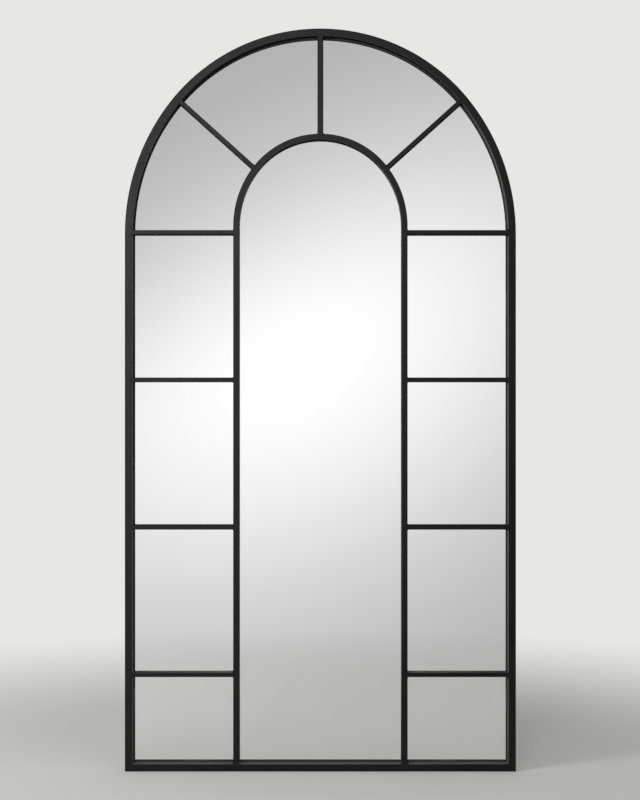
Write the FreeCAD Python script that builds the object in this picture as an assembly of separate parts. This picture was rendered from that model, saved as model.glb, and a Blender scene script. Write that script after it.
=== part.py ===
"""Arched window mirror: a square steel tube frame with an arched head, a window grid of slimmer tubes
welded in flush with its front, one mirror sheet behind the grid, and a screwed-on fibreboard back that
carries two hinged hanging rings and four rubber pads.

Millimetres. +X is the viewer's right, +Y runs back to the wall, +Z is up. The origin is the middle of the
bounding box's base: on the underside of the bottom rail, half-way from the front faces to the wall.
"""

import FreeCAD
import Part

import math
import os

# Outer frame: one bent tube on two stiles and a mitred bottom rail
FRAME_WIDTH = 1000.0  # outside of one stile to outside of the other
FRAME_SPRING = 1375.0  # height at which the arch leaves the stiles
FRAME_RISE = 525.0  # outer edge of the arch, crown above springing
TUBE_SIZE = 20.0  # face and depth of the square tube
TUBE_WALL = 1.5
TUBE_CORNER = 2.0  # outside corner radius

# Both arches have three tangent arcs: a crown and two sides, which meet where the edge's
# normal stands this many degrees above level
ARCH_JOIN_ANGLE = 37.0

# Window grid: slimmer tubes, flush with the front of the frame
MULLION_SPREAD = 430.0  # centre line to centre line
MULLION_FACE = 16.0  # mullions and the inner arch that stands on them
INNER_SPRING_LIFT = 20.0  # from the frame's springing up to the inner arch's
INNER_RISE = 236.0  # outer edge of the inner arch, crown above springing
BAR_FACE = 12.0  # cross bars and the two side spokes
BAR_COUNT = 4  # on each side
LOWEST_BAR = 247.5  # centre height
TOP_BAR_LIFT = 3.5  # from the frame's springing up to the middle of the highest bars
CROWN_SPOKE_FACE = 15.0
SPOKE_HUB_LIFT = 16.0  # from the frame's springing up to where the spokes' centre lines meet
SPOKE_ANGLE = 42.0  # side spokes above level
GRID_WALL = 1.2
GRID_CORNER = 1.5

# Mirror pack, in order behind the grid; with the grid it fills the tube's depth
TAPE_THICKNESS = 1.0
TAPE_INSET = 2.0  # from each edge of its bar
GLASS_THICKNESS = 4.0
GLASS_GAP = 5.0  # from the glass to the inside of the stiles
GLASS_HEAD_GAP = 8.0  # from the glass to the inside of the frame's crown
GLASS_FOOT_GAP = 8.0  # from the bottom rail up to the glass, which stands on blocks
FOAM_THICKNESS = 1.0
FOAM_GAP = 1.0
BLOCK_LENGTH = 60.0  # rubber blocks in the gap round the glass
BLOCK_SETBACK = 180.0  # from the frame's bottom corners and springing to a block's middle

# Back
BOARD_THICKNESS = 5.0
BOARD_INSET = 3.0  # from the outside of the frame
SCREW_EDGE = 7.0  # from the board's edge to the middle of the screws in it
BUMPER_RADIUS = 9.0
BUMPER_HEIGHT = 6.0
BUMPER_ROUNDING = 1.5
BUMPER_INSET = 45.0  # from the outside of the frame to the pad's middle
BUMPER_ARCH_ANGLE = 50.0  # of the upper pads, above level

# Pan-head self-tapping screws
SCREW_RADIUS = 1.95
SCREW_HEAD_RADIUS = 4.0
SCREW_HEAD_HEIGHT = 2.2
SCREW_HEAD_ROUNDING = 0.9
SCREW_BITE = 5.0  # past the tube's rear wall
SCREW_POINT = 2.5
RECESS_LENGTH = 4.2  # cross recess, tip to tip
RECESS_WIDTH = 0.9
RECESS_DEPTH = 1.2
SCREW_THREAD_GAP = 0.05  # in the tube's rear wall
SCREW_HOLE_GAP = 0.3  # in the board and the straps
STILE_SCREWS = 6
STILE_SCREW_SETBACK = 60.0  # from the corner and from the springing
RAIL_SCREWS = 4
RAIL_SCREW_SETBACK = 155.0
ARCH_SCREWS = 7

# Hangers: a strap of sheet folded round a ring of wire, screwed through the board to each stile
HANGER_INSET = 14.0  # from the outside of the frame to the strap's middle
HANGER_DROP = 155.0  # from the springing down to the ring's axis
STRAP_WIDTH = 12.0
STRAP_LENGTH = 38.0  # below the ring's axis
STRAP_SHEET = 1.0  # two thicknesses lie flat on the board
STRAP_HOLES = (20.0, 31.0)  # below the ring's axis
BARREL_LIFT = 0.1  # of the rolled end, off the board
WIRE_RADIUS = 1.5
PIN_GAP = 0.1  # between the wire and the rolled strap
RING_CORNER = 2.5  # bend of the wire beside the strap, on its centre line
RING_SIDE_GAP = 0.5  # from the strap's edge to the start of that bend
RING_REST_GAP = 0.3  # between the hanging ring and the strap under it

SMALLEST_ROUNDING = 0.2  # inside corner of a tube, where its wall is thicker than its corner
CUT_MARGIN = 1.0  # by which a cutting tool overshoots

# Derived planes, front to back
FRONT_Y = -(TUBE_SIZE + BOARD_THICKNESS + BUMPER_HEIGHT) / 2
GRID_DEPTH = TUBE_SIZE - TAPE_THICKNESS - GLASS_THICKNESS - FOAM_THICKNESS
TAPE_Y = FRONT_Y + GRID_DEPTH
GLASS_Y = TAPE_Y + TAPE_THICKNESS
FOAM_Y = GLASS_Y + GLASS_THICKNESS
BOARD_Y = FRONT_Y + TUBE_SIZE
BACK_Y = BOARD_Y + BOARD_THICKNESS
WALL_Y = BACK_Y + BUMPER_HEIGHT

# Derived places
FRAME_HALF = FRAME_WIDTH / 2
MULLION_HALF = MULLION_SPREAD / 2
INNER_SPRING = FRAME_SPRING + INNER_SPRING_LIFT
SPOKE_HUB = FRAME_SPRING + SPOKE_HUB_LIFT
GLASS_HALF = FRAME_HALF - TUBE_SIZE - GLASS_GAP
GLASS_RISE = FRAME_RISE - TUBE_SIZE - GLASS_HEAD_GAP
GLASS_FOOT = TUBE_SIZE + GLASS_FOOT_GAP
SCREW_INSET = BOARD_INSET + SCREW_EDGE
HANGER_X = FRAME_HALF - HANGER_INSET
HANGER_Z = FRAME_SPRING - HANGER_DROP
STRAP_THICKNESS = 2 * STRAP_SHEET
BARREL_RADIUS = WIRE_RADIUS + PIN_GAP + STRAP_SHEET
AXIS_Y = BACK_Y + BARREL_LIFT + BARREL_RADIUS
RING_RADIUS = STRAP_WIDTH / 2 + RING_SIDE_GAP + RING_CORNER
# A hanging ring leans out so that it clears the strap at the strap's edges
RING_REACH = RING_CORNER + math.sqrt(RING_RADIUS**2 - (STRAP_WIDTH / 2) ** 2)
RING_CLIMB = BACK_Y + STRAP_THICKNESS + RING_REST_GAP + WIRE_RADIUS - AXIS_Y
RING_LEAN = math.degrees(math.asin(RING_CLIMB / RING_REACH))

X_AXIS = FreeCAD.Vector(1, 0, 0)
Y_AXIS = FreeCAD.Vector(0, 1, 0)
Z_AXIS = FreeCAD.Vector(0, 0, 1)
ORIGIN = FreeCAD.Vector(0, 0, 0)
SIDES = {"left": -1, "right": 1}


class Arch:
    """Three-centred arch drawn by its outer edge, symmetrical about x = 0.

    side_centre is the x of the right-hand side arc's centre, at springing height;
    crown_centre is the height of the crown arc's centre.
    """

    def __init__(self, half_span, rise, spring):
        join = math.radians(ARCH_JOIN_ANGLE)
        overshoot = (rise - half_span) / (1 + math.tan(join) - 1 / math.cos(join))
        self.half_span = half_span
        self.spring = spring
        self.side_radius = half_span + overshoot
        self.crown_radius = self.side_radius - overshoot / math.cos(join)
        self.side_centre = -overshoot
        self.crown_centre = spring + overshoot * math.tan(join)

    def point(self, angle, inset):
        """Point inside the outer edge by inset, where the edge's normal is at angle degrees."""
        if angle < ARCH_JOIN_ANGLE:
            centre, radius = (self.side_centre, self.spring), self.side_radius
        elif angle > 180 - ARCH_JOIN_ANGLE:
            centre, radius = (-self.side_centre, self.spring), self.side_radius
        else:
            centre, radius = (0.0, self.crown_centre), self.crown_radius
        across = math.cos(math.radians(angle))
        up = math.sin(math.radians(angle))
        return FreeCAD.Vector(
            centre[0] + (radius - inset) * across, 0, centre[1] + (radius - inset) * up
        )

    def arc(self, start, end, inset):
        """Edge of the arch between two normal angles that lie on one of its arcs."""
        middle = self.point((start + end) / 2, inset)
        return Part.Arc(self.point(start, inset), middle, self.point(end, inset)).toShape()

    def filled(self, inset, base):
        """Face, in the plane y = 0, of the arch and the upright sides that it stands on."""
        half = self.half_span - inset
        low_left = FreeCAD.Vector(-half, 0, base)
        low_right = FreeCAD.Vector(half, 0, base)
        right = self.point(0, inset)
        left = self.point(180, inset)
        edges = [
            Part.makeLine(low_left, low_right),
            Part.makeLine(low_right, right),
            self.arc(0, ARCH_JOIN_ANGLE, inset),
            self.arc(ARCH_JOIN_ANGLE, 180 - ARCH_JOIN_ANGLE, inset),
            self.arc(180 - ARCH_JOIN_ANGLE, 180, inset),
            Part.makeLine(left, low_left),
        ]
        return Part.Face(Part.Wire(edges))


FRAME_ARCH = Arch(FRAME_HALF, FRAME_RISE, FRAME_SPRING)
GLASS_ARCH = Arch(GLASS_HALF, GLASS_RISE, FRAME_SPRING)
INNER_ARCH = Arch(MULLION_HALF + MULLION_FACE / 2, INNER_RISE, INNER_SPRING)


def place(shape, x=0.0, y=0.0, z=0.0):
    """The shape, moved."""
    return shape.translated(FreeCAD.Vector(x, y, z))


def turn(shape, degrees):
    """The shape, turned about the Y axis from +X towards +Z."""
    turned = shape.copy()
    turned.rotate(ORIGIN, -Y_AXIS, degrees)
    return turned


def rounded_rectangle(width, y_front, y_back, rounding):
    """Face in the plane z = 0, centred on x = 0."""
    half = width / 2
    corners = [
        (half, y_front, 1, -1),
        (half, y_back, 1, 1),
        (-half, y_back, -1, 1),
        (-half, y_front, -1, -1),
    ]
    diagonal = rounding * (1 - math.sqrt(0.5))
    arcs = []
    for x, y, out_x, out_y in corners:
        on_side = FreeCAD.Vector(x, y - out_y * rounding, 0)
        on_corner = FreeCAD.Vector(x - out_x * diagonal, y - out_y * diagonal, 0)
        on_end = FreeCAD.Vector(x - out_x * rounding, y, 0)
        ends = [on_end, on_side] if out_x * out_y < 0 else [on_side, on_end]
        arcs.append((ends[0], on_corner, ends[1]))
    edges = []
    for this, following in zip(arcs, arcs[1:] + arcs[:1]):
        edges.append(Part.Arc(*this).toShape())
        edges.append(Part.makeLine(this[2], following[0]))
    return Part.Face(Part.Wire(edges))


def tube_section(width, depth, rounding, wall):
    """Section of a rectangular tube whose front lies in the mirror's front plane."""
    outside = rounded_rectangle(width, FRONT_Y, FRONT_Y + depth, rounding)
    bore = rounded_rectangle(
        width - 2 * wall,
        FRONT_Y + wall,
        FRONT_Y + depth - wall,
        max(rounding - wall, SMALLEST_ROUNDING),
    )
    return outside.cut(bore).Faces[0]


def frame_section():
    return tube_section(TUBE_SIZE, TUBE_SIZE, TUBE_CORNER, TUBE_WALL)


def grid_section(width):
    return tube_section(width, GRID_DEPTH, GRID_CORNER, GRID_WALL)


def tape_section(width):
    strip = width - 2 * TAPE_INSET
    return Part.makePlane(strip, TAPE_THICKNESS, FreeCAD.Vector(-strip / 2, TAPE_Y, 0))


def straight(section, x, z, angle, length):
    """Bar of a section from a point in the front view, running at an angle above level."""
    bar = turn(section.extrude(Z_AXIS * length), angle - 90)
    return place(bar, x=x, z=z)


def bent(arch, section, width):
    """Bar of a section, bent round an arch whose outer edge is the bar's outer edge."""
    stretches = [
        (0, ARCH_JOIN_ANGLE, arch.side_centre, arch.spring, arch.side_radius),
        (ARCH_JOIN_ANGLE, 180 - ARCH_JOIN_ANGLE, 0, arch.crown_centre, arch.crown_radius),
        (180 - ARCH_JOIN_ANGLE, 180, -arch.side_centre, arch.spring, arch.side_radius),
    ]
    pieces = []
    for start, end, x, z, radius in stretches:
        profile = place(section, x=radius - width / 2)
        piece = turn(profile.revolve(ORIGIN, -Y_AXIS, end - start), start)
        pieces.append(place(piece, x=x, z=z))
    return pieces[0].fuse(pieces[1:]).removeSplitter()


def sheet(face, y, thickness):
    """A face of the plane y = 0, made a sheet that starts at y."""
    return place(face.extrude(Y_AXIS * thickness), y=y)


def block(x0, x1, y0, y1, z0, z1):
    """Box between two corners."""
    return Part.makeBox(x1 - x0, y1 - y0, z1 - z0, FreeCAD.Vector(x0, y0, z0))


def frame_opening():
    """Everything inside the frame, through the tube's whole depth."""
    return sheet(FRAME_ARCH.filled(TUBE_SIZE, TUBE_SIZE), FRONT_Y, TUBE_SIZE)


def taped_field():
    """Everything inside the glass's edge, less the tape's inset, through the tube's whole depth."""
    return sheet(GLASS_ARCH.filled(TAPE_INSET, GLASS_FOOT + TAPE_INSET), FRONT_Y, TUBE_SIZE)


def centre_light(margin):
    """The mullions, the inner arch and all that they enclose, and a margin round them."""
    return sheet(INNER_ARCH.filled(-margin, 0), FRONT_Y, TUBE_SIZE)


def spaced(first, last, count):
    """Evenly spaced places, both ends included."""
    return [first + (last - first) * i / (count - 1) for i in range(count)]


def bar_heights():
    return spaced(LOWEST_BAR, FRAME_SPRING + TOP_BAR_LIFT, BAR_COUNT)


def screw_places():
    """Middle of each board screw, round the frame's tube."""
    edge = FRAME_HALF - SCREW_INSET
    heights = spaced(STILE_SCREW_SETBACK, FRAME_SPRING - STILE_SCREW_SETBACK, STILE_SCREWS)
    across = spaced(-FRAME_HALF + RAIL_SCREW_SETBACK, FRAME_HALF - RAIL_SCREW_SETBACK, RAIL_SCREWS)
    angles = spaced(0, 180, ARCH_SCREWS + 2)[1:-1]
    places = [FreeCAD.Vector(side * edge, 0, z) for side in SIDES.values() for z in heights]
    places += [FreeCAD.Vector(x, 0, SCREW_INSET) for x in across]
    places += [FRAME_ARCH.point(angle, SCREW_INSET) for angle in angles]
    return places


def hanger_screw_places(side):
    return [FreeCAD.Vector(side * HANGER_X, 0, HANGER_Z - drop) for drop in STRAP_HOLES]


def all_screw_places():
    return screw_places() + hanger_screw_places(-1) + hanger_screw_places(1)


def drilled(shape, places, y0, y1, gap):
    """The shape with a screw's hole at each place, from y0 to y1."""
    drills = [
        Part.makeCylinder(SCREW_RADIUS + gap, y1 - y0, FreeCAD.Vector(p.x, y0, p.z), Y_AXIS)
        for p in places
    ]
    return shape.cut(drills)


def pilot_drilled(tube):
    """The tube with the screws' pilot holes in its rear wall."""
    y0 = BOARD_Y - TUBE_WALL - CUT_MARGIN
    return drilled(tube, all_screw_places(), y0, BOARD_Y + CUT_MARGIN, SCREW_THREAD_GAP)


def outer_arch():
    return pilot_drilled(bent(FRAME_ARCH, frame_section(), TUBE_SIZE))


def corner_cutter(side, off_rail):
    """Prism on one side of the mitre in a bottom corner: below it, or above it."""
    outside = FreeCAD.Vector(side * (FRAME_HALF + CUT_MARGIN), 0, -CUT_MARGIN)
    reach = TUBE_SIZE + 2 * CUT_MARGIN
    inside = outside + FreeCAD.Vector(-side * reach, 0, reach)
    third = FreeCAD.Vector(inside.x, 0, outside.z)
    if off_rail:
        third = FreeCAD.Vector(outside.x, 0, inside.z)
    corner = Part.Face(Part.makePolygon([outside, inside, third, outside]))
    return sheet(corner, FRONT_Y - CUT_MARGIN, TUBE_SIZE + 2 * CUT_MARGIN)


def stile(side):
    x = side * (FRAME_HALF - TUBE_SIZE / 2)
    tube = straight(frame_section(), x, 0, 90, FRAME_SPRING)
    return pilot_drilled(tube.cut(corner_cutter(side, off_rail=False)))


def bottom_rail():
    tube = straight(frame_section(), -FRAME_HALF, TUBE_SIZE / 2, 0, FRAME_WIDTH)
    for side in SIDES.values():
        tube = tube.cut(corner_cutter(side, off_rail=True))
    return pilot_drilled(tube)


def inner_arch():
    return bent(INNER_ARCH, grid_section(MULLION_FACE), MULLION_FACE)


def mullion(side):
    length = INNER_SPRING - TUBE_SIZE
    return straight(grid_section(MULLION_FACE), side * MULLION_HALF, TUBE_SIZE, 90, length)


def cross_bar(section, side, z, field, margin):
    """Bar from a mullion outwards, cut to a field and kept that margin off the mullion."""
    angle = 0 if side > 0 else 180
    bar = straight(section, side * MULLION_HALF, z, angle, FRAME_HALF - MULLION_HALF)
    return bar.common(field).cut(centre_light(margin))


def spoke(section, angle, field, margin):
    """Bar from the inner arch outwards, cut to a field and kept that margin off the arch."""
    bar = straight(section, 0, SPOKE_HUB, angle, FRAME_SPRING + FRAME_RISE)
    return bar.common(field).cut(centre_light(margin))


def spokes():
    """Name, face width and angle above level of each spoke."""
    return [
        ("crown_spoke", CROWN_SPOKE_FACE, 90),
        ("left_spoke", BAR_FACE, 180 - SPOKE_ANGLE),
        ("right_spoke", BAR_FACE, SPOKE_ANGLE),
    ]


def glazing_tape():
    """A strip behind every bar of the grid, kept back from the glass's edge and the other strips."""
    wide = tape_section(MULLION_FACE)
    narrow = tape_section(BAR_FACE)
    field = taped_field()
    foot = GLASS_FOOT + TAPE_INSET
    strips = []
    for side in SIDES.values():
        strips.append(
            straight(wide, side * MULLION_HALF, foot, 90, INNER_SPRING - TAPE_INSET - foot)
        )
        for z in bar_heights():
            strips.append(cross_bar(narrow, side, z, field, TAPE_INSET))
    for _, width, angle in spokes():
        strips.append(spoke(tape_section(width), angle, field, TAPE_INSET))
    strips.append(bent(INNER_ARCH, wide, MULLION_FACE))
    return Part.makeCompound(strips)


def mirror_glass():
    return sheet(GLASS_ARCH.filled(0, GLASS_FOOT), GLASS_Y, GLASS_THICKNESS)


def setting_blocks():
    """Two blocks under the glass and two at each side of it."""
    half = BLOCK_LENGTH / 2
    outer = FRAME_HALF - TUBE_SIZE
    y0 = GLASS_Y
    y1 = FOAM_Y
    blocks = []
    for side in SIDES.values():
        x = side * (FRAME_HALF - BLOCK_SETBACK)
        blocks.append(block(x - half, x + half, y0, y1, TUBE_SIZE, GLASS_FOOT))
        x0, x1 = sorted((side * GLASS_HALF, side * outer))
        for z in (BLOCK_SETBACK, FRAME_SPRING - BLOCK_SETBACK):
            blocks.append(block(x0, x1, y0, y1, z - half, z + half))
    return Part.makeCompound(blocks)


def foam_sheet():
    inset = TUBE_SIZE + FOAM_GAP
    return sheet(FRAME_ARCH.filled(inset, inset), FOAM_Y, FOAM_THICKNESS)


def backing_board():
    board = sheet(FRAME_ARCH.filled(BOARD_INSET, BOARD_INSET), BOARD_Y, BOARD_THICKNESS)
    y0 = BOARD_Y - CUT_MARGIN
    return drilled(board, all_screw_places(), y0, BACK_Y + CUT_MARGIN, SCREW_HOLE_GAP)


def pan_head_screw(place_on_face, seat_y, grip):
    """Screw with its head on the plane y = seat_y and its shank through a grip of that thickness."""
    straight_end = -(grip + SCREW_BITE - SCREW_POINT)
    top = SCREW_HEAD_HEIGHT
    round_off = SCREW_HEAD_ROUNDING
    shoulder = FreeCAD.Vector(SCREW_HEAD_RADIUS, top - round_off, 0)
    crown = FreeCAD.Vector(SCREW_HEAD_RADIUS - round_off, top, 0)
    bulge = round_off * (1 - math.sqrt(0.5))
    corner = FreeCAD.Vector(SCREW_HEAD_RADIUS - bulge, top - bulge, 0)
    tip = FreeCAD.Vector(0, straight_end - SCREW_POINT, 0)
    neck = FreeCAD.Vector(SCREW_RADIUS, straight_end, 0)
    root = FreeCAD.Vector(SCREW_RADIUS, 0, 0)
    rim = FreeCAD.Vector(SCREW_HEAD_RADIUS, 0, 0)
    middle = FreeCAD.Vector(0, top, 0)
    edges = [
        Part.makeLine(tip, neck),
        Part.makeLine(neck, root),
        Part.makeLine(root, rim),
        Part.makeLine(rim, shoulder),
        Part.Arc(shoulder, corner, crown).toShape(),
        Part.makeLine(crown, middle),
        Part.makeLine(middle, tip),
    ]
    screw = Part.Face(Part.Wire(edges)).revolve(ORIGIN, Y_AXIS, 360)
    half = RECESS_LENGTH / 2
    slot = RECESS_WIDTH / 2
    bottom = top - RECESS_DEPTH
    recess = block(-half, half, bottom, top + CUT_MARGIN, -slot, slot)
    recess = recess.fuse(block(-slot, slot, bottom, top + CUT_MARGIN, -half, half))
    return place(screw.cut(recess), x=place_on_face.x, y=seat_y, z=place_on_face.z)


def board_screws():
    grip = BOARD_THICKNESS + TUBE_WALL
    return Part.makeCompound([pan_head_screw(p, BACK_Y, grip) for p in screw_places()])


def hanger_screws(side):
    grip = STRAP_THICKNESS + BOARD_THICKNESS + TUBE_WALL
    seat = BACK_Y + STRAP_THICKNESS
    return Part.makeCompound([pan_head_screw(p, seat, grip) for p in hanger_screw_places(side)])


def hanger_strap(side):
    """Sheet rolled round the ring's wire, both ends flat on the board and rounded off below."""
    half = STRAP_WIDTH / 2
    x = side * HANGER_X
    round_z = HANGER_Z - STRAP_LENGTH + half
    flat = block(x - half, x + half, BACK_Y, BACK_Y + STRAP_THICKNESS, round_z, HANGER_Z)
    end = Part.makeCylinder(half, STRAP_THICKNESS, FreeCAD.Vector(x, BACK_Y, round_z), Y_AXIS)
    barrel_start = FreeCAD.Vector(x - half, AXIS_Y, HANGER_Z)
    barrel = Part.makeCylinder(BARREL_RADIUS, STRAP_WIDTH, barrel_start, X_AXIS)
    bore = Part.makeCylinder(WIRE_RADIUS + PIN_GAP, STRAP_WIDTH, barrel_start, X_AXIS)
    strap = flat.fuse([end, barrel]).removeSplitter().cut(bore)
    y1 = BACK_Y + STRAP_THICKNESS + CUT_MARGIN
    return drilled(strap, hanger_screw_places(side), BACK_Y - CUT_MARGIN, y1, SCREW_HOLE_GAP)


def hanger_ring(side):
    """D-shaped wire ring: a straight leg on the hinge axis, two bends and a half circle, hanging."""
    half_leg = RING_RADIUS - RING_CORNER
    wire = Part.makeCylinder(WIRE_RADIUS, 2 * half_leg, FreeCAD.Vector(-half_leg, 0, 0), X_AXIS)
    section = Part.Face(Part.Wire(Part.makeCircle(WIRE_RADIUS)))
    bend = place(section, x=RING_CORNER).revolve(ORIGIN, -Y_AXIS, 90)
    right_bend = place(bend, x=half_leg, z=-RING_CORNER)
    left_bend = place(turn(bend, 90), x=-half_leg, z=-RING_CORNER)
    bow = turn(place(section, x=RING_RADIUS).revolve(ORIGIN, -Y_AXIS, 180), 180)
    bow = place(bow, z=-RING_CORNER)
    ring = wire.fuse([right_bend, left_bend, bow]).removeSplitter()
    ring.rotate(ORIGIN, X_AXIS, RING_LEAN)
    return place(ring, x=side * HANGER_X, y=AXIS_Y, z=HANGER_Z)


def bumper_places():
    places = [
        FreeCAD.Vector(side * (FRAME_HALF - BUMPER_INSET), 0, BUMPER_INSET)
        for side in SIDES.values()
    ]
    for angle in (BUMPER_ARCH_ANGLE, 180 - BUMPER_ARCH_ANGLE):
        places.append(FRAME_ARCH.point(angle, BUMPER_INSET))
    return places


def wall_bumpers():
    pads = []
    for p in bumper_places():
        foot = FreeCAD.Vector(p.x, BACK_Y, p.z)
        pad = Part.makeCylinder(BUMPER_RADIUS, BUMPER_HEIGHT, foot, Y_AXIS)
        rim = [e for e in pad.Edges if abs(e.BoundBox.YMin - WALL_Y) < SMALLEST_ROUNDING]
        pads.append(pad.makeFillet(BUMPER_ROUNDING, rim))
    return Part.makeCompound(pads)


def mirror_parts():
    """Every piece of the mirror, by name."""
    parts = {
        "outer_arch": outer_arch(),
        "bottom_rail": bottom_rail(),
        "inner_arch": inner_arch(),
        "glazing_tape": glazing_tape(),
        "mirror_glass": mirror_glass(),
        "setting_blocks": setting_blocks(),
        "foam_sheet": foam_sheet(),
        "backing_board": backing_board(),
        "board_screws": board_screws(),
        "wall_bumpers": wall_bumpers(),
    }
    opening = frame_opening()
    for name, width, angle in spokes():
        parts[name] = spoke(grid_section(width), angle, opening, 0)
    for name, side in SIDES.items():
        parts[name + "_stile"] = stile(side)
        parts[name + "_mullion"] = mullion(side)
        parts[name + "_hanger_strap"] = hanger_strap(side)
        parts[name + "_hanger_ring"] = hanger_ring(side)
        parts[name + "_hanger_screws"] = hanger_screws(side)
        for number, z in enumerate(bar_heights(), start=1):
            bar = cross_bar(grid_section(BAR_FACE), side, z, opening, 0)
            parts[f"{name}_bar_{number}"] = bar
    return parts


def main():
    os.makedirs("parts", exist_ok=True)
    for name, shape in mirror_parts().items():
        shape.exportStep(f"parts/{name}.step")


if __name__ == "__main__":
    main()
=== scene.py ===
"""Looks of the arched window mirror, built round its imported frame.

Metres. +X is the viewer's right, +Y runs back to the wall, +Z is up.
"""

import math

import bmesh
import bpy
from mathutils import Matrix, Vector


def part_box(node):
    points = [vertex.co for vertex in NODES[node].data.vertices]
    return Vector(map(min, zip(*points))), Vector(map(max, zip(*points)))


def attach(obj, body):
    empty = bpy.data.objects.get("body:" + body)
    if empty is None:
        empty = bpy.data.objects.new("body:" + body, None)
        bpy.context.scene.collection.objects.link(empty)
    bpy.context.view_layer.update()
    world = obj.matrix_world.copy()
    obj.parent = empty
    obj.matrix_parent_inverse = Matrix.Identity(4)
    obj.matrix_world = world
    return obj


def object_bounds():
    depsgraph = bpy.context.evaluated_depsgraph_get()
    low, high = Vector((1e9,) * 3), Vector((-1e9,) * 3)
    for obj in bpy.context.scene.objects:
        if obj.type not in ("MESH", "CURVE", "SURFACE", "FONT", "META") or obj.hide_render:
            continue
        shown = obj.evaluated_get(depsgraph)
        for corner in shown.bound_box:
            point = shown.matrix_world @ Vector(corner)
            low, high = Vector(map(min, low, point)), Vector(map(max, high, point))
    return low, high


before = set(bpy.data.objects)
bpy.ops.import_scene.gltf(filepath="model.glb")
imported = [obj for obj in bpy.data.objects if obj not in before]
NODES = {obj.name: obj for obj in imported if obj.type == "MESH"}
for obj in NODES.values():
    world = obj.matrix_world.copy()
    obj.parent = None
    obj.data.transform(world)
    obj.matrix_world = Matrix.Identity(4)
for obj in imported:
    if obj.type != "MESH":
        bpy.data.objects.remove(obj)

bl_info = {
    "name": "Arched window mirror",
    "version": (1, 0, 0),
    "blender": (4, 5, 0),
    "location": "View3D > Sidebar > Mirror",
    "description": "Finishes and welds of an arched steel window mirror, and the studio it stands in",
    "category": "Object",
}

MIRROR_BODY = "mirror"
SIDES = ("left", "right")
CAD_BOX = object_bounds()
FRONT_Y = CAD_BOX[0].y
GRID_BACK_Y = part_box("left_mullion")[1].y
MILLIMETRE = 0.001


# ---------------------------------------------------------------- settings


class CoatSettings(bpy.types.PropertyGroup):
    """Powder coat on every tube and weld."""

    colour: bpy.props.FloatVectorProperty(
        name="Coat",
        description="Satin black of the powder coat",
        subtype="COLOR",
        size=3,
        min=0.0,
        max=1.0,
        default=(0.0016, 0.0015, 0.0018),
    )
    bloom: bpy.props.FloatVectorProperty(
        name="Bloom",
        description="Slightly lighter cast that drifts over the coat",
        subtype="COLOR",
        size=3,
        min=0.0,
        max=1.0,
        default=(0.0034, 0.0032, 0.0037),
    )
    # Painted highlight: this pale colour stands in for the light that the tubes' inner sides catch
    # along the glass.
    dust_and_painted_highlight: bpy.props.FloatVectorProperty(
        name="Dust",
        description="Dust wiped against the bars' sides along the glass",
        subtype="COLOR",
        size=3,
        min=0.0,
        max=1.0,
        default=(0.13, 0.128, 0.125),
    )
    roughness: bpy.props.FloatProperty(
        name="Roughness",
        description="Mean roughness of the satin coat",
        subtype="FACTOR",
        min=0.0,
        max=1.0,
        default=0.36,
    )
    peel: bpy.props.FloatProperty(
        name="Orange peel",
        description="Distance from one dimple of the coat to the next",
        unit="LENGTH",
        min=0.0002,
        default=0.0011,
    )


class WeldSettings(bpy.types.PropertyGroup):
    """Ground welds where the window bars meet each other and the frame."""

    flare: bpy.props.FloatProperty(
        name="Flare",
        description="Leg of the fillet on each side of a bar",
        unit="LENGTH",
        min=0.0005,
        default=0.003,
    )
    lap: bpy.props.FloatProperty(
        name="Lap",
        description="Reach of the weld over the rounded corner of the tube that it joins",
        unit="LENGTH",
        min=0.0005,
        default=0.0022,
    )
    rounding: bpy.props.FloatProperty(
        name="Edge rounding",
        description="Rounding of the weld's front edges",
        unit="LENGTH",
        min=0.0,
        default=0.0012,
    )
    sink: bpy.props.FloatProperty(
        name="Sink",
        description="Depth of the ground face below the tubes' front",
        unit="LENGTH",
        min=0.0,
        default=0.00003,
    )


class GlassSettings(bpy.types.PropertyGroup):
    """Silvered glass."""

    silver: bpy.props.FloatVectorProperty(
        name="Silver",
        description="What the silvering gives back",
        subtype="COLOR",
        size=3,
        min=0.0,
        max=1.0,
        default=(0.93, 0.932, 0.93),
    )
    edge: bpy.props.FloatVectorProperty(
        name="Glass edge",
        description="Green of the glass seen edge-on",
        subtype="COLOR",
        size=3,
        min=0.0,
        max=1.0,
        default=(0.035, 0.06, 0.05),
    )
    paint: bpy.props.FloatVectorProperty(
        name="Back paint",
        description="Protective paint behind the silver",
        subtype="COLOR",
        size=3,
        min=0.0,
        max=1.0,
        default=(0.16, 0.17, 0.18),
    )


class BackSettings(bpy.types.PropertyGroup):
    """Board, foam, tape and rubber behind the glass."""

    board: bpy.props.FloatVectorProperty(
        name="Board",
        description="Dark-dyed fibreboard",
        subtype="COLOR",
        size=3,
        min=0.0,
        max=1.0,
        default=(0.072, 0.06, 0.051),
    )
    foam: bpy.props.FloatVectorProperty(
        name="Foam",
        description="Foam sheet and glazing tape",
        subtype="COLOR",
        size=3,
        min=0.0,
        max=1.0,
        default=(0.022, 0.022, 0.023),
    )
    rubber: bpy.props.FloatVectorProperty(
        name="Rubber",
        description="Wall pads and setting blocks",
        subtype="COLOR",
        size=3,
        min=0.0,
        max=1.0,
        default=(0.02, 0.02, 0.021),
    )


class HardwareSettings(bpy.types.PropertyGroup):
    """Plated screws, straps and rings."""

    zinc: bpy.props.FloatVectorProperty(
        name="Zinc plate",
        description="Bright zinc of the screws and hangers",
        subtype="COLOR",
        size=3,
        min=0.0,
        max=1.0,
        default=(0.63, 0.63, 0.61),
    )
    roughness: bpy.props.FloatProperty(
        name="Roughness",
        description="Mean roughness of the plating",
        subtype="FACTOR",
        min=0.0,
        max=1.0,
        default=0.3,
    )


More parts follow.
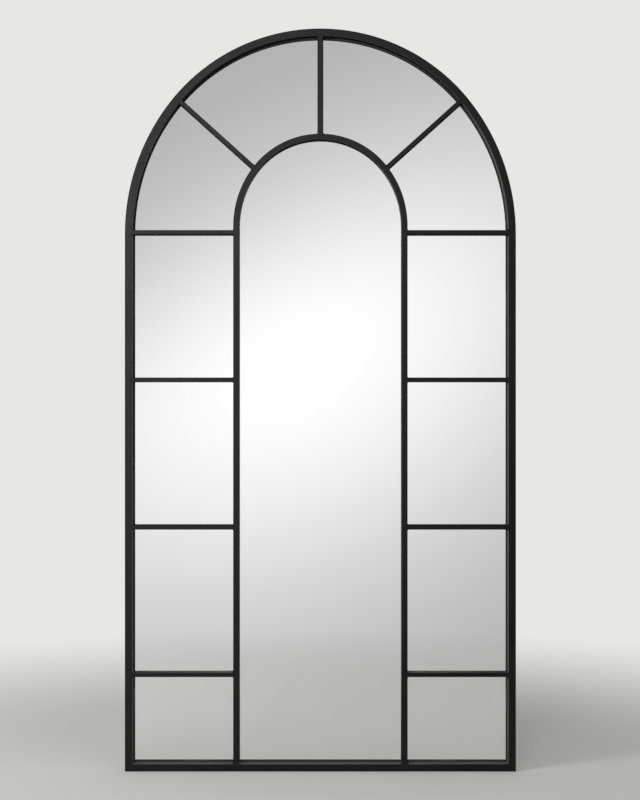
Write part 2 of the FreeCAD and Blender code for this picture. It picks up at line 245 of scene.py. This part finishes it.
class StudioSettings(bpy.types.PropertyGroup):
    """Floor, light and camera."""

    floor: bpy.props.FloatVectorProperty(
        name="Floor",
        description="Pale matt floor",
        subtype="COLOR",
        size=3,
        min=0.0,
        max=1.0,
        default=(0.635, 0.635, 0.627),
    )
    floor_radius: bpy.props.FloatProperty(
        name="Floor radius",
        description="Distance at which the floor has faded into the surroundings",
        unit="LENGTH",
        min=1.0,
        default=2.6,
    )
    surroundings: bpy.props.FloatVectorProperty(
        name="Surroundings",
        description="Plain pale tone seen behind the mirror",
        subtype="COLOR",
        size=3,
        min=0.0,
        max=1.0,
        default=(0.8, 0.8, 0.79),
    )
    key_power: bpy.props.FloatProperty(
        name="Key light",
        description="Power of the large soft light at the upper left",
        unit="POWER",
        min=0.0,
        default=25.0,
    )
    lamp: bpy.props.FloatProperty(
        name="Lamp",
        description="Brightness of the broad lamp, made for the coat, which also lights the floor",
        min=0.0,
        default=17.0,
    )
    camera_distance: bpy.props.FloatProperty(
        name="Camera distance",
        description="From the lens to the front of the frame",
        unit="LENGTH",
        min=0.5,
        default=4.12,
    )
    eye_height: bpy.props.FloatProperty(
        name="Eye height",
        description="Height of the lens, which looks straight ahead",
        unit="LENGTH",
        default=0.95,
    )
    picture_height: bpy.props.FloatProperty(
        name="Picture height",
        description="What the picture takes in from bottom to top, at the front of the frame",
        unit="LENGTH",
        min=0.1,
        default=2.045,
    )


class MirrorSettings(bpy.types.PropertyGroup):
    """All that a user would change."""

    coat: bpy.props.PointerProperty(type=CoatSettings)
    weld: bpy.props.PointerProperty(type=WeldSettings)
    glass: bpy.props.PointerProperty(type=GlassSettings)
    back: bpy.props.PointerProperty(type=BackSettings)
    hardware: bpy.props.PointerProperty(type=HardwareSettings)
    studio: bpy.props.PointerProperty(type=StudioSettings)


# ---------------------------------------------------------------- shader maths


class Wire:
    """Output of a shader node, on which Python's operators add Math nodes."""

    def __init__(self, graph, socket):
        self.graph = graph
        self.socket = socket

    def math(self, operation, first, second=0.0, third=0.0):
        inputs = {0: first, 1: second, 2: third}
        return self.graph.node("ShaderNodeMath", {"operation": operation}, inputs)

    def __add__(self, other):
        return self.math("ADD", self, other)

    __radd__ = __add__

    def __sub__(self, other):
        return self.math("SUBTRACT", self, other)

    def __rsub__(self, other):
        return self.math("SUBTRACT", other, self)

    def __mul__(self, other):
        return self.math("MULTIPLY", self, other)

    __rmul__ = __mul__

    def __truediv__(self, other):
        return self.math("DIVIDE", self, other)

    def __neg__(self):
        return self.math("MULTIPLY", self, -1.0)

    def above(self, floor):
        """The value, or the floor where the value is lower."""
        return self.math("MAXIMUM", self, floor)

    def below(self, ceiling):
        """The value, or the ceiling where the value is higher."""
        return self.math("MINIMUM", self, ceiling)

    def falling(self):
        """e to the power of minus the value."""
        return self.math("EXPONENT", -self)

    def between(self, low, high):
        """0 up to low, 1 from high, and a smooth ramp between them."""
        settings = {"interpolation_type": "SMOOTHSTEP"}
        inputs = {"Value": self, "From Min": low, "From Max": high}
        return self.graph.node("ShaderNodeMapRange", settings, inputs)


class Graph:
    """Node tree of one material or world."""

    def __init__(self, owner):
        owner.use_nodes = True
        self.tree = owner.node_tree
        self.tree.nodes.clear()

    def node(self, kind, settings=None, inputs=None, output=0):
        """Adds a node: its settings first, then the values or links of its sockets."""
        made = self.tree.nodes.new(kind)
        for name, value in (settings or {}).items():
            setattr(made, name, value)
        for key, value in (inputs or {}).items():
            socket = self.open_socket(made.inputs, key)
            if isinstance(value, Wire):
                self.tree.links.new(value.socket, socket)
            else:
                socket.default_value = value
        if not made.outputs:
            return made
        return Wire(self, self.open_socket(made.outputs, output))

    @staticmethod
    def open_socket(sockets, key):
        """Socket by number, or the one in use of those that share a name."""
        if isinstance(key, int):
            return sockets[key]
        return next(s for s in sockets if s.enabled and s.name == key)

    def place(self):
        """Position on the object, in metres."""
        return self.node("ShaderNodeTexCoord", output="Object")

    def normal(self):
        """Which way the surface faces on the object."""
        return self.node("ShaderNodeTexCoord", output="Normal")

    def ray(self, kind):
        """1 for rays of one kind, and 0 for the others."""
        return self.node("ShaderNodeLightPath", output=f"Is {kind} Ray")

    def stretched(self, scale):
        """Position, scaled along each axis."""
        inputs = {"Vector": self.place(), "Scale": scale}
        return self.node("ShaderNodeMapping", {"vector_type": "POINT"}, inputs)

    def noise(self, spacing, detail=2.0, roughness=0.5, vector=None):
        """Smooth noise from 0 to 1, whose bumps lie about that far apart."""
        inputs = {
            "Vector": vector or self.place(),
            "Scale": 1 / spacing,
            "Detail": detail,
            "Roughness": roughness,
        }
        return self.node("ShaderNodeTexNoise", inputs=inputs)

    def cells(self, spacing):
        """Distance to the nearest of many scattered points."""
        inputs = {"Vector": self.place(), "Scale": 1 / spacing}
        return self.node("ShaderNodeTexVoronoi", {"feature": "F1"}, inputs)

    def mix(self, factor, first, second):
        """Colour between two colours."""
        inputs = {"Factor": factor, "A": first, "B": second}
        return self.node("ShaderNodeMix", {"data_type": "RGBA"}, inputs, "Result")

    def bump(self, height, depth, strength=1.0):
        """Normal of a surface whose height runs over that depth, in metres."""
        inputs = {"Height": height, "Distance": depth, "Strength": strength}
        return self.node("ShaderNodeBump", inputs=inputs)

    def part(self, vector, axis):
        """One of a vector's three numbers."""
        return self.node("ShaderNodeSeparateXYZ", inputs={"Vector": vector}, output=axis)

    def dot(self, vector, direction):
        """How far a vector reaches along a direction."""
        inputs = {0: vector, 1: direction}
        return self.node("ShaderNodeVectorMath", {"operation": "DOT_PRODUCT"}, inputs, "Value")

    def surface(self, inputs):
        """Finishes the tree with one principled surface."""
        shader = self.node("ShaderNodeBsdfPrincipled", inputs=inputs)
        self.node("ShaderNodeOutputMaterial", inputs={"Surface": shader})


def opaque(colour):
    """A colour with full alpha."""
    return (*colour, 1.0)


def shade(colour, factor):
    """A colour made lighter or darker."""
    return tuple(c * factor for c in colour)


# ---------------------------------------------------------------- finishes


def facing_the_glass(graph):
    """1 on sides that face the middle of the glass and don't overhang, 0 on faces and undersides: where
    the coat gets its painted highlight.
    """
    place, normal = graph.place(), graph.normal()
    across, height = graph.part(place, "X"), graph.part(place, "Z")
    lowest, highest = 0.5, 1.41  # ends of the upright line that such sides face
    rise = height.above(lowest).below(highest) - height
    inward = graph.node("ShaderNodeCombineXYZ", inputs={"X": -across, "Z": rise})
    inward = graph.node("ShaderNodeVectorMath", {"operation": "NORMALIZE"}, {0: inward})
    overhang = graph.part(normal, "Z").between(-0.75, -0.4)
    return graph.dot(normal, inward).between(0.25, 0.7) * overhang


def powder_coat(settings):
    """Satin black powder coat, drier on the tubes' sides: drift, orange peel, and a painted highlight
    on the sides by the glass.
    """
    material = bpy.data.materials.new("powder_coat")
    graph = Graph(material)
    # Painted highlight: pale colour on the sides that face the glass and don't face down, standing in
    # for the light they catch.
    dusty_and_highlit = facing_the_glass(graph) * (0.7 + 0.3 * graph.noise(0.03, detail=4.0))
    dry = 1 - (-graph.part(graph.normal(), "Y")).between(0.3, 0.9)
    drift = graph.noise(0.16, detail=3.0).between(0.3, 0.7)
    peel = graph.noise(settings.peel, detail=1.0)
    specks = graph.noise(settings.peel / 3, detail=0.0)
    coat = graph.mix(drift, opaque(settings.colour), opaque(settings.bloom))
    graph.surface(
        {
            "Base Color": graph.mix(dusty_and_highlit, coat, opaque(settings.dust_and_painted_highlight)),
            "Roughness": settings.roughness + (drift - 0.5) * 0.06 + dry * 0.45,
            "Specular IOR Level": 0.15,
            "Normal": graph.bump(peel + specks * 0.25, 0.02 * MILLIMETRE, 0.5),
        }
    )
    return material


def silvered_glass(settings):
    """Mirror on its front, glass round its edge, paint on its back."""
    material = bpy.data.materials.new("silvered_glass")
    graph = Graph(material)
    facing = graph.part(graph.normal(), "Y")
    front = (-facing).between(0.5, 0.6)
    back = facing.between(0.5, 0.6)
    haze = graph.noise(0.35, detail=2.0)
    grain = graph.noise(0.0015, detail=2.0)
    silver = graph.mix(haze, opaque(settings.silver), opaque(shade(settings.silver, 0.996)))
    paint = graph.mix(grain, opaque(settings.paint), opaque(shade(settings.paint, 0.8)))
    edge = graph.mix(grain, opaque(settings.edge), opaque(shade(settings.edge, 0.6)))
    behind = graph.mix(back, edge, paint)
    rough_behind = 0.15 + back * 0.35 + grain * 0.1
    graph.surface(
        {
            "Base Color": graph.mix(front, behind, silver),
            "Metallic": front,
            "Roughness": (1 - front) * rough_behind,
        }
    )
    return material


def fibreboard(settings):
    """Dark-dyed hardboard: matted fibres over a mottled ground."""
    material = bpy.data.materials.new("fibreboard")
    graph = Graph(material)
    mottle = graph.noise(0.03, detail=5.0, roughness=0.6).between(0.25, 0.75)
    lengthways = graph.noise(0.0008, detail=2.0, vector=graph.stretched((1.0, 1.0, 0.12)))
    crossways = graph.noise(0.0008, detail=2.0, vector=graph.stretched((0.12, 1.0, 1.0)))
    fibres = (lengthways.above(crossways)).between(0.45, 0.75)
    ground = graph.mix(mottle, opaque(shade(settings.board, 0.8)), opaque(settings.board))
    graph.surface(
        {
            "Base Color": graph.mix(fibres * 0.6, ground, opaque(shade(settings.board, 1.9))),
            "Roughness": 0.62 + mottle * 0.12 - fibres * 0.08,
            "Normal": graph.bump(fibres + mottle * 0.3, 0.08 * MILLIMETRE, 0.5),
        }
    )
    return material


def closed_cell_foam(settings):
    """Black foam with fine closed cells."""
    material = bpy.data.materials.new("closed_cell_foam")
    graph = Graph(material)
    cells = graph.cells(0.9 * MILLIMETRE)
    walls = cells.between(0.1, 0.7)
    light = opaque(shade(settings.foam, 1.5))
    graph.surface(
        {
            "Base Color": graph.mix(walls, opaque(shade(settings.foam, 0.7)), light),
            "Roughness": 0.75 + walls * 0.15,
            "Normal": graph.bump(walls, 0.12 * MILLIMETRE, 0.5),
        }
    )
    return material


def moulded_rubber(settings):
    """Black rubber with a fine moulded grain and a pale powdery cast."""
    material = bpy.data.materials.new("moulded_rubber")
    graph = Graph(material)
    dust_and_painted_highlight = graph.noise(0.004, detail=4.0, roughness=0.65).between(0.35, 0.75)
    grain = graph.noise(0.4 * MILLIMETRE, detail=1.0)
    dusty_and_highlit = opaque(shade(settings.rubber, 1.8))
    graph.surface(
        {
            "Base Color": graph.mix(dust_and_painted_highlight, opaque(settings.rubber), dusty_and_highlit),
            "Roughness": 0.5 + dust_and_painted_highlight * 0.2 + grain * 0.1,
            "Normal": graph.bump(grain, 0.05 * MILLIMETRE, 0.6),
        }
    )
    return material


def zinc_plate(settings):
    """Bright zinc plating with a faint clouding and drawn scratches."""
    material = bpy.data.materials.new("zinc_plate")
    graph = Graph(material)
    cloud = graph.noise(0.006, detail=4.0).between(0.3, 0.7)
    drawn = graph.noise(0.25 * MILLIMETRE, detail=2.0, vector=graph.stretched((1.0, 1.0, 0.1)))
    dull = opaque(shade(settings.zinc, 0.78))
    graph.surface(
        {
            "Base Color": graph.mix(cloud, opaque(settings.zinc), dull),
            "Metallic": 1.0,
            "Roughness": settings.roughness + (cloud - 0.5) * 0.12 + (drawn - 0.5) * 0.16,
            "Normal": graph.bump(drawn, 0.01 * MILLIMETRE, 0.5),
        }
    )
    return material


def pale_floor(settings):
    """Matt floor that fades out with distance."""
    material = bpy.data.materials.new("pale_floor")
    graph = Graph(material)
    place = graph.place()
    distance = graph.node("ShaderNodeVectorMath", {"operation": "LENGTH"}, {0: place}, "Value")
    cloud = graph.noise(0.9, detail=3.0)
    radius = settings.floor_radius
    floor = settings.floor
    graph.surface(
        {
            "Base Color": graph.mix(cloud, opaque(floor), opaque(shade(floor, 0.985))),
            "Roughness": 0.8,
            "Specular IOR Level": 0.0,
            "Alpha": 1 - distance.between(radius * 0.3, radius),
        }
    )
    return material


def finish(nodes, material):
    """Gives CAD nodes their finish."""
    for node in nodes:
        for slot in NODES[node].material_slots:
            slot.material = material


# ---------------------------------------------------------------- welds


def bar_line(node):
    """Middle of a straight bar, its direction and its direction across, in the front view."""
    mesh = NODES[node].data
    sides = [p for p in mesh.polygons if abs(p.normal.y) < 0.1]
    across = max(sides, key=lambda p: p.area).normal.copy()
    across.y = 0.0
    across.normalize()
    along = Vector((-across.z, 0.0, across.x))
    spans = []
    for axis in (across, along):
        reach = [v.co.dot(axis) for v in mesh.vertices]
        spans.append((min(reach), max(reach)))
    (low, high), (start, end) = spans
    middle = across * (low + high) / 2 + along * (start + end) / 2
    return middle, along, across, high - low


def wall_ahead(bar, wall):
    """Where a bar's centre line meets a wall: the point, the wall's normal and the way there."""
    middle, along, across, width = bar_line(bar)
    middle.y = (FRONT_Y + GRID_BACK_Y) / 2
    for heading in (along, -along):
        hits = []
        for offset in (across * width / 4, -across * width / 4):
            found, point, normal, _ = NODES[wall].ray_cast(middle + offset, heading)
            if found:
                hits.append((point - offset, normal))
        if hits:
            point = sum((p for p, _ in hits), Vector()) / len(hits)
            normal = sum((n for _, n in hits), Vector())
            return point, Vector((normal.x, 0.0, normal.z)).normalized(), heading
    raise RuntimeError(f"{bar} doesn't reach {wall}")


def weld_mesh(name, bar, wall, settings):
    """Ground fillet weld at a bar's end: a foot over the tube's corner, and a stub under the bar."""
    _, _, across, width = bar_line(bar)
    point, normal, along = wall_ahead(bar, wall)
    tangent = Vector((-normal.z, 0.0, normal.x))
    if tangent.dot(across) < 0:
        tangent = -tangent
    front = Vector((0.0, FRONT_Y + settings.sink, 0.0))
    root = Vector((point.x, 0.0, point.z)) + front
    half = width / 2
    right = [
        -normal * settings.lap + tangent * (half + settings.flare * 0.2),
        tangent * (half + settings.flare * 1.05),
        across * half,
        across * half - along * settings.flare * 1.5,
    ]
    left = [
        -normal * settings.lap - tangent * (half + settings.flare * 0.2),
        -tangent * (half + settings.flare * 1.05),
        -across * half,
        -across * half - along * settings.flare * 1.5,
    ]
    shape = bmesh.new()
    corners = [shape.verts.new(root + p) for p in right + left[::-1]]
    face = shape.faces.new(corners)
    depth = Vector((0.0, GRID_BACK_Y - FRONT_Y - 10 * settings.sink, 0.0))
    grown = bmesh.ops.extrude_face_region(shape, geom=[face])["geom"]
    moved = [v for v in grown if isinstance(v, bmesh.types.BMVert)]
    bmesh.ops.translate(shape, verts=moved, vec=depth)
    bmesh.ops.recalc_face_normals(shape, faces=shape.faces)
    inner = [root + across * half, root - across * half]
    creases = [
        e
        for e in shape.edges
        if abs((e.verts[1].co - e.verts[0].co).y) > depth.y / 2
        and min((Vector((e.verts[0].co.x, root.y, e.verts[0].co.z)) - p).length for p in inner) < 1e-6
    ]
    bmesh.ops.bevel(
        shape, geom=creases, offset=settings.flare, segments=6, profile=0.5, affect="EDGES", material=-1
    )
    rim = [e for e in shape.edges if all(abs(v.co.y - root.y) < 1e-7 for v in e.verts)]
    bmesh.ops.bevel(
        shape, geom=rim, offset=settings.rounding, segments=3, profile=0.5, affect="EDGES", material=-1
    )
    mesh = bpy.data.meshes.new(name)
    shape.to_mesh(mesh)
    shape.free()
    return mesh


def add_piece(name, mesh, material):
    """New piece that moves with the mirror."""
    piece = bpy.data.objects.new(name, mesh)
    bpy.context.scene.collection.objects.link(piece)
    mesh.materials.append(material)
    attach(piece, MIRROR_BODY)
    return piece


def weld_walls():
    """Each bar's name with the tubes that it is welded to, outer end first."""
    walls = {f"{side}_mullion": ["bottom_rail"] for side in SIDES}
    for side in SIDES:
        for number in range(1, 4):
            walls[f"{side}_bar_{number}"] = [f"{side}_stile", f"{side}_mullion"]
        walls[f"{side}_bar_4"] = ["outer_arch", f"{side}_mullion"]
    for spoke in ("crown_spoke", "left_spoke", "right_spoke"):
        walls[spoke] = ["outer_arch", "inner_arch"]
    return walls


# ---------------------------------------------------------------- studio


def horizon_glow(graph, direction, studio):
    """Soft diagonal glow low in front of the mirror, which its glass gives back."""
    centre = Vector((-0.063, -studio.camera_distance, 0.099)).normalized()
    tilt = math.radians(28.4)
    along = Vector((math.cos(tilt), 0.0, math.sin(tilt)))
    along = (along - centre * along.dot(centre)).normalized()
    up = along.cross(centre)
    if up.z < 0:
        up = -up
    length, above, below = 0.219, 0.104, 0.143
    rise = graph.dot(direction, up)
    run = graph.dot(direction, along) / length
    off = rise / below + rise.above(0.0) * (1 / above - 1 / below)
    fall = off * off + run * run
    return graph.dot(direction, centre).between(0.0, 0.3) * fall.falling()


def lamp_glow(graph, direction):
    """Broad lamp to the upper left of the lens, made for the satin coat. It also lights the floor."""
    place = Vector((-0.25, -1.0, 0.17)).normalized()
    spread = 0.17
    reach = graph.dot(direction, place)
    off = (1 - reach) * (2 / spread**2)
    return reach.between(0.0, 0.3) * off.falling()


def light_room(studio):
    """World: plain and pale to the eye, soft all round, with a glow for the mirror to give back."""
    world = bpy.data.worlds.new("studio")
    bpy.context.scene.world = world
    graph = Graph(world)
    direction = graph.node("ShaderNodeTexCoord", output="Generated")
    forward, upward = -graph.part(direction, "Y"), graph.part(direction, "Z")

    ahead_tone, glow_tone = 0.45, 0.64
    aside = (1 - forward).between(0.06, 0.25)
    aside_tone = 0.3 + upward.between(-0.6, 0.6) * 0.25
    glow = horizon_glow(graph, direction, studio)
    in_glass = ahead_tone + aside * aside_tone + glow * glow_tone

    side_tone, front_dip, rear_rise = 0.32, 0.3, 0.3
    dim = side_tone - forward.between(0.0, 0.7) * front_dip + (-forward).between(0.2, 0.9) * rear_rise
    on_coat = dim + lamp_glow(graph, direction) * studio.lamp

    even_tone = 0.55
    level = on_coat + graph.ray("Diffuse") * (even_tone - on_coat)
    level = level + graph.ray("Singular") * (in_glass - level)
    tone = graph.node("ShaderNodeCombineColor", inputs={"Red": level, "Green": level, "Blue": level})
    colour = graph.mix(graph.ray("Camera"), tone, opaque(studio.surroundings))
    sky = graph.node("ShaderNodeBackground", inputs={"Color": colour, "Strength": 1.0})
    graph.node("ShaderNodeOutputWorld", inputs={"Surface": sky})


def lay_floor(studio):
    """Round floor under the mirror."""
    shape = bmesh.new()
    bmesh.ops.create_circle(shape, cap_ends=True, segments=96, radius=studio.floor_radius * 1.05)
    mesh = bpy.data.meshes.new("floor")
    shape.to_mesh(mesh)
    shape.free()
    mesh.materials.append(pale_floor(studio))
    floor = bpy.data.objects.new("floor", mesh)
    bpy.context.scene.collection.objects.link(floor)


def aim(item, place, target):
    """Puts a light or camera in place, facing a point."""
    item.location = place
    item.rotation_mode = "QUATERNION"
    item.rotation_quaternion = (Vector(target) - Vector(place)).to_track_quat("-Z", "Y")


def hang_key_light(studio):
    """Large soft light at the upper left."""
    lamp = bpy.data.lights.new("key_light", "AREA")
    lamp.shape = "DISK"
    lamp.size = 1.0
    lamp.energy = studio.key_power
    item = bpy.data.objects.new("key_light", lamp)
    bpy.context.scene.collection.objects.link(item)
    aim(item, (-1.7, -1.3, 1.7), (0.0, 0.0, 1.1))
    item.visible_camera = False
    item.visible_glossy = False


def set_camera(studio):
    """Camera straight in front of the mirror."""
    lens = bpy.data.cameras.new("camera")
    lens.lens = lens.sensor_width * studio.camera_distance / studio.picture_height
    item = bpy.data.objects.new("camera", lens)
    bpy.context.scene.collection.objects.link(item)
    place = (-0.001, FRONT_Y - studio.camera_distance, studio.eye_height)
    aim(item, place, (place[0], 0.0, studio.eye_height))
    bpy.context.scene.camera = item


# ---------------------------------------------------------------- operators


class MIRROR_OT_stage(bpy.types.Operator):
    """Lays the floor, lights the studio and sets the camera"""

    bl_idname = "arched_mirror.stage"
    bl_label = "Set the studio"

    def execute(self, context):
        studio = context.scene.arched_mirror.studio
        lay_floor(studio)
        light_room(studio)
        hang_key_light(studio)
        set_camera(studio)
        context.scene.view_settings.view_transform = "Standard"
        return {"FINISHED"}


class MIRROR_OT_tubes(bpy.types.Operator):
    """Coats the frame and the window bars, and adds the ground welds between them"""

    bl_idname = "arched_mirror.tubes"
    bl_label = "Coat the tubes"

    def execute(self, context):
        settings = context.scene.arched_mirror
        coat = powder_coat(settings.coat)
        tubes = ["outer_arch", "bottom_rail", "inner_arch", "left_stile", "right_stile"]
        walls = weld_walls()
        finish(tubes + list(walls), coat)
        for bar, ends in walls.items():
            for wall in ends:
                name = f"{bar}_weld_at_{wall}"
                add_piece(name, weld_mesh(name, bar, wall, settings.weld), coat)
        return {"FINISHED"}


class MIRROR_OT_glass(bpy.types.Operator):
    """Silvers the glass"""

    bl_idname = "arched_mirror.glass"
    bl_label = "Silver the glass"

    def execute(self, context):
        finish(["mirror_glass"], silvered_glass(context.scene.arched_mirror.glass))
        return {"FINISHED"}


class MIRROR_OT_back(bpy.types.Operator):
    """Finishes the board, foam, tape, setting blocks and wall pads"""

    bl_idname = "arched_mirror.back"
    bl_label = "Finish the back"

    def execute(self, context):
        settings = context.scene.arched_mirror.back
        finish(["backing_board"], fibreboard(settings))
        finish(["foam_sheet", "glazing_tape"], closed_cell_foam(settings))
        finish(["setting_blocks", "wall_bumpers"], moulded_rubber(settings))
        return {"FINISHED"}


class MIRROR_OT_hardware(bpy.types.Operator):
    """Plates the screws, straps and rings"""

    bl_idname = "arched_mirror.hardware"
    bl_label = "Plate the hardware"

    def execute(self, context):
        plate = zinc_plate(context.scene.arched_mirror.hardware)
        finish(["board_screws"], plate)
        for side in SIDES:
            parts = ("strap", "ring", "screws")
            finish([f"{side}_hanger_{part}" for part in parts], plate)
        return {"FINISHED"}


STEPS = (MIRROR_OT_stage, MIRROR_OT_tubes, MIRROR_OT_glass, MIRROR_OT_back, MIRROR_OT_hardware)


class MIRROR_PT_panel(bpy.types.Panel):
    """Settings and steps of the mirror"""

    bl_idname = "MIRROR_PT_panel"
    bl_label = "Arched window mirror"
    bl_space_type = "VIEW_3D"
    bl_region_type = "UI"
    bl_category = "Mirror"

    def draw(self, context):
        settings = context.scene.arched_mirror
        for group in MirrorSettings.__annotations__:
            box = self.layout.box()
            box.label(text=group.capitalize())
            for name in getattr(settings, group).__annotations__:
                box.prop(getattr(settings, group), name)
        for step in STEPS:
            self.layout.operator(step.bl_idname)


CLASSES = (
    CoatSettings,
    WeldSettings,
    GlassSettings,
    BackSettings,
    HardwareSettings,
    StudioSettings,
    MirrorSettings,
    *STEPS,
    MIRROR_PT_panel,
)


def register():
    for cls in CLASSES:
        bpy.utils.register_class(cls)
    bpy.types.Scene.arched_mirror = bpy.props.PointerProperty(type=MirrorSettings)


def unregister():
    del bpy.types.Scene.arched_mirror
    for cls in reversed(CLASSES):
        bpy.utils.unregister_class(cls)


def main():
    register()
    bpy.ops.arched_mirror.stage()
    bpy.ops.arched_mirror.tubes()
    bpy.ops.arched_mirror.glass()
    bpy.ops.arched_mirror.back()
    bpy.ops.arched_mirror.hardware()


if __name__ == "__main__":
    main()
